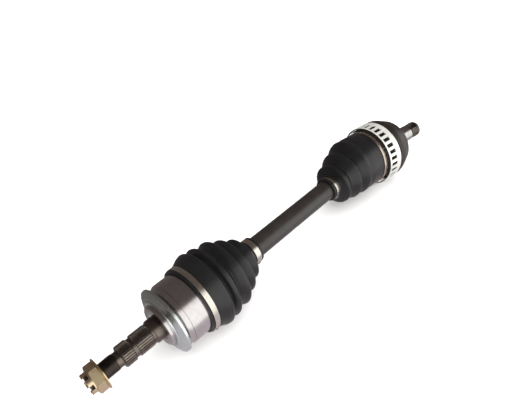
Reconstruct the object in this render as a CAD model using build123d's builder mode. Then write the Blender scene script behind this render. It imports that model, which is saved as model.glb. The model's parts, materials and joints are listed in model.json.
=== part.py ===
from build123d import *
import os
from math import cos, sin, tan, radians, pi

# Front wheel drive axle: a ball joint at the wheel end, a bar, and a plunging
# three-roller joint at the gearbox end. Millimetres, +X along the bar from the
# wheel end to the gearbox end, +Z up. The origin is on the bar's axis, in the
# plane of the bell's bearing shoulder.

os.makedirs("parts", exist_ok=True)

# ---------------------------------------------------------------- clearances
fit_gap = 0.02          # a fixed piece on its seat
running_gap = 0.10      # balls in tracks, rollers on needles
land_gap = 0.15         # spherical lands of the ball joint
rubber_gap = 0.30       # rubber beside a part that moves past it
roller_side_gap = 0.75  # roller to track wall, room for the spider to orbit

# ---------------------------------------------------------------- whole axle
wheel_joint_x = 40.4      # centre of the ball joint
gearbox_joint_x = 451.0   # centre of the three-roller joint
rest_bend = 7.5           # degrees the gearbox joint is bent as it lies
wheel_bend_limit = 45.0   # degrees either way
gearbox_bend_limit = 20.0  # degrees either way from straight
plunge_limit = 16.0       # travel either way along the housing

# ---------------------------------------------------------------- bar
bar_r = 15.0
neck_r = 13.0
neck_length = 62.0        # from a joint centre to the end of the neck
neck_taper = 6.0
bar_tip_r = 13.0          # over the spline teeth
bar_teeth = 24
bar_tooth_depth = 1.1
gap_foot_share = 0.12     # half width of a tooth gap at its foot, as a share of the pitch
gap_mouth_share = 0.46    # and one tooth depth above the tips
collar_r = 14.2
collar_length = 3.0
race_half = 11.0          # half the length of the inner race
tail_length = 4.0         # bar beyond the hub
clip_wire = 1.5           # width of a snap ring
clip_depth = 1.2          # depth of its groove
clip_proud = 1.4          # height of a snap ring over the bar

# ---------------------------------------------------------------- wheel stub
thread_r = 11.0
thread_end_x = -98.0
thread_start_x = -60.0
relief_r = 10.15
spline_a_start_x = -54.9
spline_a_end_x = -39.8
spline_b_start_x = -35.3
spline_b_end_x = -12.8
stub_tip_r = 14.3
stub_teeth = 30
stub_tooth_depth = 1.3
pilot_r = 15.6
pilot_length = 10.5

# ---------------------------------------------------------------- bell
shoulder_r = 27.25        # bearing shoulder
snout_length = 3.5
shield_seat_r = 29.0
shield_seat_end_x = 8.0
bell_r = 43.0
bell_step_x = 23.5
bell_taper = 1.6
bell_round = 5.0
mouth_reach = 18.6        # from the joint centre to the bell's open end
boot_groove_depth = 0.8

# ---------------------------------------------------------------- ball joint
ball_count = 6
ball_r = 8.5
ball_pitch_r = 28.5
race_r = 26.0
cage_wall = 5.35
cage_half = 13.5
window_width = 21.0
window_round = 4.0
track_sweep = 43.0        # half angle of the tracks about the joint centre
ball_angles = [30 + 360 / ball_count * step for step in range(ball_count)]

# ---------------------------------------------------------------- shield
shield_wall = 1.4
shield_step_r = 37.0
shield_rim_r = 46.0
shield_depth = 8.2

# ---------------------------------------------------------------- nut
nut_flats = 32.0
nut_flange_r = 20.4
nut_flange = 2.6
nut_hex_end_x = -93.0
nut_back_x = -80.3
nut_crown_x = -99.6
nut_crown_r = 13.6
nut_slots = 6
nut_slot_width = 6.0
nut_slot_depth = 5.0

# ---------------------------------------------------------------- boots
rubber_wall = 2.2
wheel_boot_bead_x = 47.4
wheel_clamp_x = 50.5
wheel_clamp_width = 7.4
wheel_boot_seat_wall = 3.4  # rubber under the clamp, over the bell
wheel_small_clamp_x = 155.1
small_clamp_width = 8.4
small_boot_seat_r = 18.0
gearbox_small_clamp_x = 335.0
gearbox_clamp_h = -14.6
gearbox_clamp_width = 5.8
gearbox_boot_seat_wall = 2.6  # over the housing
gearbox_boot_end_h = -7.6
clamp_wall = 1.0
clamp_lap = 46.0          # degrees of doubled band
clamp_turn = 200.0        # where the doubled band sits, from +Y towards +Z

# ---------------------------------------------------------------- rollers
roller_count = 3
roller_pitch_r = 25.0
roller_r = 16.5
roller_half = 5.0
roller_bore_r = 13.5
needle_r = 1.0
needle_count = 32
needle_half = 3.8
inner_ring_half = 4.5
trunnion_head_r = 9.8
trunnion_neck_r = 7.0
trunnion_top = 3.8        # flat end of the trunnion beyond the roller centre
spider_hub_r = 16.4
spider_half = 10.0
retainer_width = 0.9

# ---------------------------------------------------------------- housing
# stations h run along the housing's own axis from the joint centre
housing_r = 40.9
housing_mouth_h = -36.0
cavity_end_h = 41.0
cavity_core_r = 25.5
track_roof_gap = 0.9      # roller end to the track's roof
ring_seat_r = 47.8
ring_front_h = -6.5
ring_seat_h = 12.0
ring_rear_h = 19.7
flank_r = 49.6
flank_front_h = 21.6
flank_rear_h = 32.0
rim_r = 38.8
rim_h = 55.5
seal_seat_r = 13.5
seal_seat_h = 60.0
seal_seat_length = 38.0
gear_spline_r = 13.0
gear_spline_end_h = 121.0
gear_teeth = 27
gear_tooth_depth = 1.2

# ---------------------------------------------------------------- tone ring
tone_ring_r = 50.4
tone_band_r = 50.0
tone_ring_wall = 2.0
tone_windows = 29
tone_window_start_h = -3.6
tone_window_end_h = 9.6
tone_window_share = 0.56  # window width as a share of the pitch

# ================================================================ frames
wheel_centre = Vector(wheel_joint_x, 0, 0)
gearbox_centre = Vector(gearbox_joint_x, 0, 0)
housing_way = Vector(1, 0, 0).rotate(Axis.Z, -rest_bend)
side_plane = Plane.XY
housing_plane = Plane(origin=gearbox_centre, x_dir=housing_way, z_dir=(0, 0, 1))
housing_axis = Axis(gearbox_centre, housing_way)


def radial(angle):
    """Unit vector square to the bar, at an angle from +Y towards +Z."""
    return Vector(0, cos(radians(angle)), sin(radians(angle)))


def cross_plane(x):
    """Plane square to the bar at x, with local x along +Y and local y along +Z."""
    return Plane(origin=(x, 0, 0), x_dir=(0, 1, 0), z_dir=(1, 0, 0))


def housing_cross_plane(h):
    """Plane square to the housing's axis at station h, with local x along +Z."""
    return Plane(origin=gearbox_centre + housing_way * h, x_dir=(0, 0, 1), z_dir=housing_way)


def spline_gaps(tip_r, depth, teeth, margin, mode):
    """Draw the gaps between spline teeth, narrowed by a margin, in the open sketch."""
    pitch = 2 * pi * tip_r / teeth
    foot = pitch * gap_foot_share - margin
    mouth = pitch * gap_mouth_share - margin
    with PolarLocations(tip_r, teeth):
        Polygon((margin - depth, -foot), (margin - depth, foot), (depth, mouth), (depth, -mouth),
                align=None, mode=mode)


def save(part, name):
    """Label a finished piece and write it to its own file."""
    part.label = name
    export_step(part, f"parts/{name}.step")


# ================================================================ bar shaft
race_clip_x = wheel_joint_x - race_half - clip_wire - fit_gap
spider_clip_x = gearbox_joint_x + spider_half + fit_gap
bar_start_x = race_clip_x - tail_length
bar_end_x = spider_clip_x + clip_wire + tail_length
wheel_collar_x = wheel_joint_x + race_half
gearbox_collar_x = gearbox_joint_x - spider_half
wheel_neck_end_x = wheel_joint_x + neck_length
gearbox_neck_end_x = gearbox_joint_x - neck_length
groove_r = bar_tip_r - clip_depth

with BuildPart() as bar_shaft:
    with BuildSketch(side_plane):
        with BuildLine():
            Polyline(
                (bar_start_x, 0), (bar_start_x, bar_tip_r - 1), (bar_start_x + 1, bar_tip_r),
                (race_clip_x, bar_tip_r), (race_clip_x, groove_r),
                (race_clip_x + clip_wire, groove_r), (race_clip_x + clip_wire, bar_tip_r),
                (wheel_collar_x, bar_tip_r), (wheel_collar_x, collar_r),
                (wheel_collar_x + collar_length, collar_r), (wheel_collar_x + collar_length + 1, neck_r),
                (wheel_neck_end_x, neck_r), (wheel_neck_end_x + neck_taper, bar_r),
                (gearbox_neck_end_x - neck_taper, bar_r), (gearbox_neck_end_x, neck_r),
                (gearbox_collar_x - collar_length - 1, neck_r), (gearbox_collar_x - collar_length, collar_r),
                (gearbox_collar_x, collar_r), (gearbox_collar_x, bar_tip_r),
                (spider_clip_x, bar_tip_r), (spider_clip_x, groove_r),
                (spider_clip_x + clip_wire, groove_r), (spider_clip_x + clip_wire, bar_tip_r),
                (bar_end_x - 1, bar_tip_r), (bar_end_x, bar_tip_r - 1), (bar_end_x, 0), close=True)
        make_face()
    revolve(axis=Axis.X)
    for start_x, end_x in ((bar_start_x - 1, wheel_collar_x), (gearbox_collar_x, bar_end_x + 1)):
        with BuildSketch(cross_plane(start_x)):
            spline_gaps(bar_tip_r, bar_tooth_depth, bar_teeth, 0, Mode.ADD)
        extrude(amount=end_x - start_x, mode=Mode.SUBTRACT)
save(bar_shaft.part, "bar_shaft")


def snap_ring(x, name):
    """Open snap ring in a groove of the bar that starts at x."""
    with BuildPart() as ring:
        with BuildSketch(cross_plane(x + fit_gap)):
            Circle(bar_tip_r + clip_proud)
            Circle(groove_r + fit_gap, mode=Mode.SUBTRACT)
            with Locations((bar_tip_r, 0)):
                Rectangle(3 * clip_depth + 3, 5, mode=Mode.SUBTRACT)
        extrude(amount=clip_wire - 2 * fit_gap)
    save(ring.part, name)


snap_ring(race_clip_x, "race_snap_ring")
snap_ring(spider_clip_x, "spider_snap_ring")

# ================================================================ ball joint
# Each track is the path of its ball as the joint bends about Z. A ball on the
# bend axis only turns in place, so its track runs in the plane of the bar's axis.
ball_paths = []
for angle in ball_angles:
    reach = ball_pitch_r * cos(radians(angle))
    rise = ball_pitch_r * sin(radians(angle))
    turn = Vector(0, 0, 1) if abs(reach) > ball_r else Vector(1, 0, 0).cross(radial(angle))
    start_x_dir = Vector(0, 1, 0).rotate(Axis((0, 0, 0), turn), -track_sweep)
    start_z_dir = Vector(1, 0, 0).rotate(Axis((0, 0, 0), turn), -track_sweep)
    with BuildPart() as ball_path:
        with BuildSketch(Plane(origin=wheel_centre, x_dir=start_x_dir, z_dir=start_z_dir)):
            with Locations((reach, rise)):
                Circle(ball_r + running_gap)
        revolve(axis=Axis(wheel_centre, turn), revolution_arc=2 * track_sweep)
    ball_paths.append(ball_path.part)

race_face_r = (race_r ** 2 - race_half ** 2) ** 0.5
with BuildPart() as inner_race:
    with BuildSketch(side_plane):
        with BuildLine():
            ThreePointArc((wheel_joint_x - race_half, race_face_r), (wheel_joint_x, race_r),
                          (wheel_joint_x + race_half, race_face_r))
            Polyline((wheel_joint_x + race_half, race_face_r), (wheel_joint_x + race_half, 0),
                     (wheel_joint_x - race_half, 0), (wheel_joint_x - race_half, race_face_r))
        make_face()
    revolve(axis=Axis.X)
    with BuildSketch(cross_plane(wheel_joint_x - race_half)):
        Circle(bar_tip_r + fit_gap)
        spline_gaps(bar_tip_r, bar_tooth_depth, bar_teeth, fit_gap, Mode.SUBTRACT)
    extrude(amount=2 * race_half, mode=Mode.SUBTRACT)
    for path in ball_paths:
        add(path, mode=Mode.SUBTRACT)
save(inner_race.part, "inner_race")

cage_inner_r = race_r + land_gap
cage_outer_r = cage_inner_r + cage_wall
with BuildPart() as ball_cage:
    with Locations(wheel_centre):
        Sphere(cage_outer_r)
        Sphere(cage_inner_r, mode=Mode.SUBTRACT)
        Box(2 * cage_half, 3 * cage_outer_r, 3 * cage_outer_r, mode=Mode.INTERSECT)
    for angle in ball_angles:
        with BuildSketch(Plane(origin=wheel_centre, x_dir=(1, 0, 0), z_dir=radial(angle))):
            RectangleRounded(2 * (ball_r + fit_gap), window_width, window_round)
        extrude(amount=2 * cage_outer_r, mode=Mode.SUBTRACT)
save(ball_cage.part, "ball_cage")

for number, angle in enumerate(ball_angles, start=1):
    with BuildPart() as ball:
        with Locations(wheel_centre + radial(angle) * ball_pitch_r):
            Sphere(ball_r)
    save(ball.part, f"ball_{number}")

# ================================================================ bell and stub
bell_land_r = cage_outer_r + land_gap
mouth_x = wheel_joint_x + mouth_reach
bend_slope = tan(radians(wheel_bend_limit))
neck_height = (neck_r + 3 * rubber_gap / 2) / cos(radians(wheel_bend_limit))
cone_start = ball_r / 2
cone_end = mouth_reach + 1
stub_root_r = stub_tip_r - stub_tooth_depth

with BuildPart() as bell:
    with BuildSketch(side_plane):
        with BuildLine():
            Polyline(
                (thread_end_x, 0), (thread_end_x, thread_r - 1.5), (thread_end_x + 1.5, thread_r),
                (thread_start_x, thread_r), (thread_start_x + 1, relief_r),
                (spline_a_start_x - 0.5, relief_r), (spline_a_start_x, stub_root_r - 0.6),
                (spline_a_start_x + 2.5, stub_tip_r), (spline_a_end_x - 0.8, stub_tip_r),
                (spline_a_end_x, stub_root_r - 0.1), (spline_b_start_x, stub_root_r - 0.1),
                (spline_b_start_x + 0.8, stub_tip_r), (spline_b_end_x, stub_tip_r),
                (spline_b_end_x + 0.6, stub_tip_r - 0.4), (-pilot_length - 0.6, stub_tip_r - 0.4),
                (-pilot_length, pilot_r - 0.6), (-pilot_length + 0.6, pilot_r), (0, pilot_r),
                (0, shoulder_r - 0.6), (0.6, shoulder_r), (snout_length, shoulder_r),
                (snout_length, shield_seat_r), (shield_seat_end_x, shield_seat_r),
                (shield_seat_end_x + 1.5, shield_seat_r + 4.5),
                (bell_step_x - 10.5, bell_r - bell_taper - bell_round),
                (bell_step_x - 6.5, bell_r - bell_taper - 0.9),
                (bell_step_x, bell_r - 0.4), (bell_step_x, bell_r),
                (wheel_clamp_x + 2, bell_r), (wheel_clamp_x + 2.6, bell_r - boot_groove_depth),
                (wheel_clamp_x + 5, bell_r - boot_groove_depth), (wheel_clamp_x + 5.6, bell_r),
                (mouth_x - 0.8, bell_r), (mouth_x, bell_r - 0.8), (mouth_x, 0), close=True)
        make_face()
    revolve(axis=Axis.X)
    with BuildSketch(cross_plane(spline_a_start_x - 1)):
        spline_gaps(stub_tip_r, stub_tooth_depth, stub_teeth, 0, Mode.ADD)
    extrude(amount=spline_b_end_x - spline_a_start_x + 1, mode=Mode.SUBTRACT)
    with Locations(wheel_centre):
        Sphere(bell_land_r, mode=Mode.SUBTRACT)
    with BuildSketch(side_plane):
        with BuildLine():
            Polyline(
                (wheel_joint_x + cone_start, 0),
                (wheel_joint_x + cone_start, cone_start * bend_slope + neck_height),
                (wheel_joint_x + cone_end, cone_end * bend_slope + neck_height),
                (wheel_joint_x + cone_end, 0), close=True)
        make_face()
    revolve(axis=Axis.X, mode=Mode.SUBTRACT)
    for path in ball_paths:
        add(path, mode=Mode.SUBTRACT)
save(bell.part, "bell_and_stub")

# ================================================================ dust shield
with BuildPart() as dust_shield:
    with BuildSketch(side_plane):
        with BuildLine():
            Polyline(
                (snout_length + 0.6, shield_seat_r + fit_gap),
                (snout_length + 0.6, shield_step_r - 4),
                (snout_length + 2.2, shield_step_r - 2.6),
                (snout_length + 2.4, shield_step_r),
                (snout_length + 5.2, shield_rim_r - 2.2),
                (snout_length + shield_depth - 2, shield_rim_r - 0.4),
                (snout_length + shield_depth + 0.8, shield_rim_r),
                (snout_length + shield_depth + 0.8, shield_rim_r - shield_wall),
                (snout_length + shield_depth - 2 + 0.5, shield_rim_r - 0.4 - shield_wall),
                (snout_length + 5.2 + shield_wall, shield_rim_r - 2.2 - 0.6),
                (snout_length + 2.4 + shield_wall, shield_step_r + 0.4),
                (snout_length + 2.2 + shield_wall, shield_step_r - 3.0),
                (snout_length + 0.6 + shield_wall, shield_step_r - 4.6),
                (snout_length + 0.6 + shield_wall, shield_seat_r + fit_gap), close=True)
        make_face()
    revolve(axis=Axis.X)
save(dust_shield.part, "dust_shield")

# ================================================================ axle nut
nut_hex_start_x = nut_back_x - nut_flange
with BuildPart() as axle_nut:
    with BuildSketch(side_plane):
        with BuildLine():
            Polyline(
                (nut_back_x, 0), (nut_back_x, nut_flange_r), (nut_back_x - 1.0, nut_flange_r),
                (nut_hex_start_x, nut_flats / 2 + 0.8), (nut_hex_start_x, 0), close=True)
        make_face()
    revolve(axis=Axis.X)
    with BuildSketch(cross_plane(nut_hex_end_x)):
        RegularPolygon(nut_flats / 2, 6, major_radius=False, rotation=30)
    extrude(amount=nut_hex_start_x - nut_hex_end_x)
    with BuildSketch(side_plane):
        with BuildLine():
            Polyline(
                (nut_hex_end_x - 0.1, nut_flats / 2), (nut_hex_end_x + 1.6, nut_flats * 0.6),
                (nut_hex_end_x - 0.1, nut_flats * 0.6), close=True)
        make_face()
    revolve(axis=Axis.X, mode=Mode.SUBTRACT)
    with BuildSketch(cross_plane(nut_crown_x)):
        Circle(nut_crown_r)
    extrude(amount=nut_hex_end_x - nut_crown_x)
    with BuildSketch(cross_plane(nut_crown_x - 1)):
        Circle(thread_r + fit_gap)
    extrude(amount=nut_back_x - nut_crown_x + 2, mode=Mode.SUBTRACT)
    with BuildSketch(cross_plane(nut_crown_x)):
        with PolarLocations(nut_crown_r, nut_slots, start_angle=30):
            Rectangle(nut_crown_r, nut_slot_width)
    extrude(amount=nut_slot_depth, mode=Mode.SUBTRACT)
save(axle_nut.part, "axle_nut")


# ================================================================ boots
# Outlines are (station, outside radius): clamp seat, folds, clamp seat. The wall
# is taken off the radius to give the inside.
wheel_boot_seat_r = bell_r + wheel_boot_seat_wall
gearbox_boot_seat_r = housing_r + gearbox_boot_seat_wall
wheel_boot_outline = [
    (wheel_boot_bead_x, wheel_boot_seat_r), (wheel_boot_bead_x + 0.8, wheel_boot_seat_r + 0.7),
    (wheel_clamp_x - 1.2, wheel_boot_seat_r + 0.7), (wheel_clamp_x - 0.4, wheel_boot_seat_r),
    (wheel_clamp_x + wheel_clamp_width + 0.4, wheel_boot_seat_r),
    (mouth_x + 1.0, wheel_boot_seat_r + 1.6), (64.0, 49.8), (70.0, 53.0), (75.4, 54.2), (77.8, 53.2),
    (82.5, 45.5), (86.6, 51.5), (89.4, 52.7), (92.0, 51.4),
    (98.5, 41.5), (106.2, 48.6), (109.4, 49.7), (112.3, 48.4),
    (117.8, 36.5), (123.6, 40.3), (126.4, 41.2), (129.0, 40.0),
    (135.0, 27.8), (140.2, 30.8), (142.9, 31.6), (145.2, 30.4),
    (151.0, 21.0), (wheel_small_clamp_x - 0.8, small_boot_seat_r),
    (wheel_small_clamp_x + small_clamp_width + 0.4, small_boot_seat_r),
    (wheel_small_clamp_x + small_clamp_width + 1.2, small_boot_seat_r + 1.2),
    (wheel_small_clamp_x + small_clamp_width + 4.2, small_boot_seat_r + 0.8)]
wheel_boot_start_x = wheel_boot_outline[0][0]
wheel_boot_end_x = wheel_boot_outline[-1][0]
wheel_seat_end_x = mouth_x + 0.6
wheel_tail_x = wheel_small_clamp_x - 0.8
wheel_boot_inside = [(x, r - rubber_wall) for x, r in wheel_boot_outline
                     if wheel_seat_end_x + 1 < x < wheel_tail_x]

with BuildPart() as wheel_boot:
    with BuildSketch(side_plane):
        with BuildLine():
            Polyline(
                *wheel_boot_outline,
                (wheel_boot_end_x, bar_r + fit_gap), (wheel_tail_x, bar_r + fit_gap),
                *reversed(wheel_boot_inside),
                (wheel_seat_end_x, bell_r + rubber_gap), (wheel_boot_start_x, bell_r + rubber_gap),
                close=True)
        make_face()
    revolve(axis=Axis.X)
save(wheel_boot.part, "wheel_boot")

# The gearbox boot follows the bent joint: a section at distance s from the joint
# centre turns about that centre by a share of the bend that grows along the boot.
bend_start_s = -95.0
bend_end_s = -40.0
gearbox_tail_s = gearbox_small_clamp_x + small_clamp_width - gearbox_joint_x + 0.6
gearbox_boot_start_s = gearbox_small_clamp_x - gearbox_joint_x - 5.0
gearbox_seat_start_s = housing_mouth_h - 0.6
gearbox_boot_outline = [
    (gearbox_boot_start_s, small_boot_seat_r + 0.8), (gearbox_boot_start_s + 3.4, small_boot_seat_r + 1.2),
    (gearbox_boot_start_s + 4.4, small_boot_seat_r), (gearbox_tail_s, small_boot_seat_r),
    (-105.6, 24.5), (-104.2, 30.0), (-102.2, 32.8), (-99.0, 32.4), (-94.0, 28.5), (-90.0, 27.5),
    (-84.0, 34.0), (-78.6, 39.2), (-75.5, 40.3), (-73.0, 39.0), (-68.0, 34.0), (-65.5, 33.6),
    (-60.0, 39.5), (-54.4, 45.0), (-51.0, 46.0), (-48.6, 45.4), (-46.0, 43.9), (-43.0, 44.6),
    (gearbox_seat_start_s, gearbox_boot_seat_r + 1.9), (-24.0, gearbox_boot_seat_r + 1.3),
    (gearbox_clamp_h - 0.8, gearbox_boot_seat_r + 0.6), (gearbox_clamp_h - 0.3, gearbox_boot_seat_r),
    (gearbox_clamp_h + gearbox_clamp_width + 0.2, gearbox_boot_seat_r),
    (gearbox_boot_end_h, gearbox_boot_seat_r + 0.5)]


def bent_plane(s):
    """Plane square to the gearbox joint's bent line at distance s from its centre."""
    share = min(1, max(0, (s - bend_start_s) / (bend_end_s - bend_start_s)))
    turn = -rest_bend * share ** 2 * (3 - 2 * share)
    way = Vector(1, 0, 0).rotate(Axis.Z, turn)
    return Plane(origin=gearbox_centre + way * s, x_dir=(0, 0, 1), z_dir=way)


def inside_r(s, r):
    """Inside radius of the gearbox boot where its outside radius is r."""
    if s <= gearbox_tail_s:
        return bar_r + fit_gap
    if s >= gearbox_seat_start_s:
        return housing_r + rubber_gap
    return r - rubber_wall


with BuildPart() as gearbox_boot_core:
    for s, r in gearbox_boot_outline:
        with BuildSketch(bent_plane(s)):
            Circle(inside_r(s, r))
    loft(ruled=True)
with BuildPart() as gearbox_boot:
    for s, r in gearbox_boot_outline:
        with BuildSketch(bent_plane(s)):
            Circle(r)
    loft(ruled=True)
    add(gearbox_boot_core.part, mode=Mode.SUBTRACT)
save(gearbox_boot.part, "gearbox_boot")


# ================================================================ boot clamps
def band_clamp(plane, axis, start, width, inner_r, name):
    """Steel band round a boot, with its locked end doubled over one stretch."""
    lap_wall = 0.8 * clamp_wall
    lap_way = plane.z_dir.rotate(Axis((0, 0, 0), plane.x_dir), clamp_turn)
    outer_r = inner_r + clamp_wall
    with BuildPart() as clamp:
        with BuildSketch(plane):
            with Locations((start + width / 2, inner_r + clamp_wall / 2)):
                Rectangle(width, clamp_wall)
        revolve(axis=axis)
        with BuildSketch(Plane(origin=plane.origin, x_dir=plane.x_dir, z_dir=lap_way)):
            with Locations((start + width / 2, outer_r + lap_wall / 2 - clamp_wall / 4)):
                Rectangle(0.86 * width, lap_wall + clamp_wall / 2)
        revolve(axis=axis, revolution_arc=clamp_lap)
    save(clamp.part, name)


band_clamp(side_plane, Axis.X, wheel_clamp_x, wheel_clamp_width,
           wheel_boot_seat_r + rubber_gap, "wheel_boot_large_clamp")
band_clamp(side_plane, Axis.X, wheel_small_clamp_x, small_clamp_width,
           small_boot_seat_r + fit_gap, "wheel_boot_small_clamp")
band_clamp(side_plane, Axis.X, gearbox_small_clamp_x, small_clamp_width,
           small_boot_seat_r + fit_gap, "gearbox_boot_small_clamp")
band_clamp(housing_plane, housing_axis, gearbox_clamp_h, gearbox_clamp_width,
           gearbox_boot_seat_r + rubber_gap, "gearbox_boot_large_clamp")

# ================================================================ spider
trunnion_angles = [90 + 360 / roller_count * step for step in range(roller_count)]
head_drop = (trunnion_head_r ** 2 - trunnion_neck_r ** 2) ** 0.5
head_flat_r = (trunnion_head_r ** 2 - trunnion_top ** 2) ** 0.5

with BuildPart() as tripod_spider:
    with BuildSketch(cross_plane(gearbox_joint_x - spider_half)):
        Circle(spider_hub_r)
    extrude(amount=2 * spider_half)
    chamfer(tripod_spider.edges().filter_by(GeomType.CIRCLE), length=1.0)
    for angle in trunnion_angles:
        trunnion_plane = Plane(origin=gearbox_centre, x_dir=radial(angle), z_dir=(1, 0, 0))
        with BuildSketch(trunnion_plane):
            with BuildLine():
                Polyline(
                    (roller_pitch_r - head_drop, trunnion_neck_r), (bar_r, trunnion_neck_r),
                    (bar_r, 0), (roller_pitch_r + trunnion_top, 0),
                    (roller_pitch_r + trunnion_top, head_flat_r))
                ThreePointArc(
                    (roller_pitch_r + trunnion_top, head_flat_r), (roller_pitch_r, trunnion_head_r),
                    (roller_pitch_r - head_drop, trunnion_neck_r))
            make_face()
        revolve(axis=Axis(gearbox_centre, radial(angle)))
    with BuildSketch(cross_plane(gearbox_joint_x - spider_half)):
        Circle(bar_tip_r + fit_gap)
        spline_gaps(bar_tip_r, bar_tooth_depth, bar_teeth, fit_gap, Mode.SUBTRACT)
    extrude(amount=2 * spider_half, mode=Mode.SUBTRACT)
save(tripod_spider.part, "tripod_spider")

# ================================================================ rollers
# A roller set sits square in its housing track, with its centre on the trunnion.
needle_pitch_r = roller_bore_r - needle_r - running_gap / 2
inner_ring_r = needle_pitch_r - needle_r - running_gap / 2
inner_ring_bore_r = trunnion_head_r + running_gap


def ring_part(plane, outer_r, inner_r, half_width, shift):
    """Flat ring on a roller's axis, with its middle moved along that axis."""
    with BuildPart() as ring:
        with BuildSketch(plane.offset(shift - half_width)):
            Circle(outer_r)
            Circle(inner_r, mode=Mode.SUBTRACT)
        extrude(amount=2 * half_width)
    return ring


for number, angle in enumerate(trunnion_angles, start=1):
    roller_way = radial(angle).rotate(Axis.Z, -rest_bend)
    roller_centre = gearbox_centre + radial(angle) * roller_pitch_r
    roller_plane = Plane(origin=roller_centre, x_dir=housing_way, z_dir=roller_way)

    outer_roller = ring_part(roller_plane, roller_r, roller_bore_r, roller_half, 0)
    save(outer_roller.part, f"outer_roller_{number}")

    inner_ring = ring_part(roller_plane, inner_ring_r, inner_ring_bore_r, inner_ring_half, 0)
    save(inner_ring.part, f"roller_inner_ring_{number}")

    with BuildPart() as needles:
        with BuildSketch(roller_plane.offset(-needle_half)):
            with PolarLocations(needle_pitch_r, needle_count):
                Circle(needle_r)
        extrude(amount=2 * needle_half)
    save(needles.part, f"needle_rollers_{number}")

    for side, place in ((-1, "inner"), (1, "outer")):
        retainer_shift = side * (needle_half + running_gap + retainer_width / 2)
        retainer = ring_part(roller_plane, roller_bore_r, inner_ring_r + running_gap,
                             retainer_width / 2, retainer_shift)
        save(retainer.part, f"roller_{place}_retainer_{number}")

# ================================================================ gearbox housing
track_half = roller_r + roller_side_gap
track_roof_r = roller_pitch_r + roller_half + track_roof_gap
gearbox_slope = tan(radians(gearbox_bend_limit))
gearbox_neck_height = (neck_r + 3 * rubber_gap / 2) / cos(radians(gearbox_bend_limit))
cone_root_h = housing_mouth_h / 3
seal_seat_end_h = seal_seat_h + seal_seat_length
stub_clip_h = gear_spline_end_h - 8.0
gear_root_r = gear_spline_r - gear_tooth_depth
clip_floor_r = gear_root_r - 0.5

with BuildPart() as housing:
    with BuildSketch(housing_plane):
        with BuildLine():
            Polyline(
                (housing_mouth_h, 0), (housing_mouth_h, housing_r - 0.8),
                (housing_mouth_h + 0.8, housing_r), (gearbox_clamp_h + 1.4, housing_r),
                (gearbox_clamp_h + 2.0, housing_r - boot_groove_depth),
                (gearbox_clamp_h + 4.2, housing_r - boot_groove_depth),
                (gearbox_clamp_h + 4.8, housing_r), (ring_seat_h - 8, housing_r),
                (ring_seat_h - 0.6, ring_seat_r - 1.2), (ring_seat_h, ring_seat_r),
                (ring_rear_h, ring_seat_r), (ring_rear_h + 0.2, ring_seat_r - 1.2),
                (flank_front_h, ring_seat_r - 1.2), (flank_front_h, flank_r - 0.6),
                (flank_front_h + 0.6, flank_r), (flank_rear_h - 3, flank_r),
                (flank_rear_h, flank_r - 0.8), (rim_h - 3.2, rim_r + 1.1), (rim_h - 1.4, rim_r - 0.4),
                (rim_h, rim_r - 2.2), (rim_h, seal_seat_r + 6), (rim_h + 1.2, seal_seat_r + 3),
                (seal_seat_h, seal_seat_r), (seal_seat_end_h, seal_seat_r),
                (seal_seat_end_h + 0.8, gear_root_r), (seal_seat_end_h + 1.4, gear_root_r),
                (seal_seat_end_h + 2.2, gear_spline_r), (stub_clip_h, gear_spline_r),
                (stub_clip_h, clip_floor_r), (stub_clip_h + clip_wire, clip_floor_r),
                (stub_clip_h + clip_wire, gear_spline_r), (gear_spline_end_h - 2.0, gear_spline_r),
                (gear_spline_end_h, gear_root_r - 1.0), (gear_spline_end_h, 0), close=True)
        make_face()
    revolve(axis=housing_axis)
    with BuildSketch(housing_cross_plane(seal_seat_end_h + 1)):
        spline_gaps(gear_spline_r, gear_tooth_depth, gear_teeth, 0, Mode.ADD)
    extrude(amount=gear_spline_end_h - seal_seat_end_h, mode=Mode.SUBTRACT)
    with BuildSketch(housing_cross_plane(housing_mouth_h - 1)):
        Circle(cavity_core_r)
        with PolarLocations(track_roof_r / 2, roller_count):
            Rectangle(track_roof_r, 2 * track_half)
    extrude(amount=cavity_end_h - housing_mouth_h + 1, mode=Mode.SUBTRACT)
    with BuildSketch(housing_plane):
        with BuildLine():
            Polyline(
                (cone_root_h, 0),
                (cone_root_h, (plunge_limit - cone_root_h) * gearbox_slope + gearbox_neck_height),
                (housing_mouth_h - 1, (plunge_limit - housing_mouth_h + 1) * gearbox_slope
                 + gearbox_neck_height),
                (housing_mouth_h - 1, 0), close=True)
        make_face()
    revolve(axis=housing_axis, mode=Mode.SUBTRACT)
save(housing.part, "gearbox_housing")

with BuildPart() as stub_snap_ring:
    with BuildSketch(housing_cross_plane(stub_clip_h + fit_gap)):
        Circle(gear_spline_r + 0.3)
        Circle(clip_floor_r + fit_gap, mode=Mode.SUBTRACT)
        with Locations((-gear_spline_r, 0)):
            Rectangle(6, 4, mode=Mode.SUBTRACT)
    extrude(amount=clip_wire - 2 * fit_gap)
save(stub_snap_ring.part, "stub_snap_ring")

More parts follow.
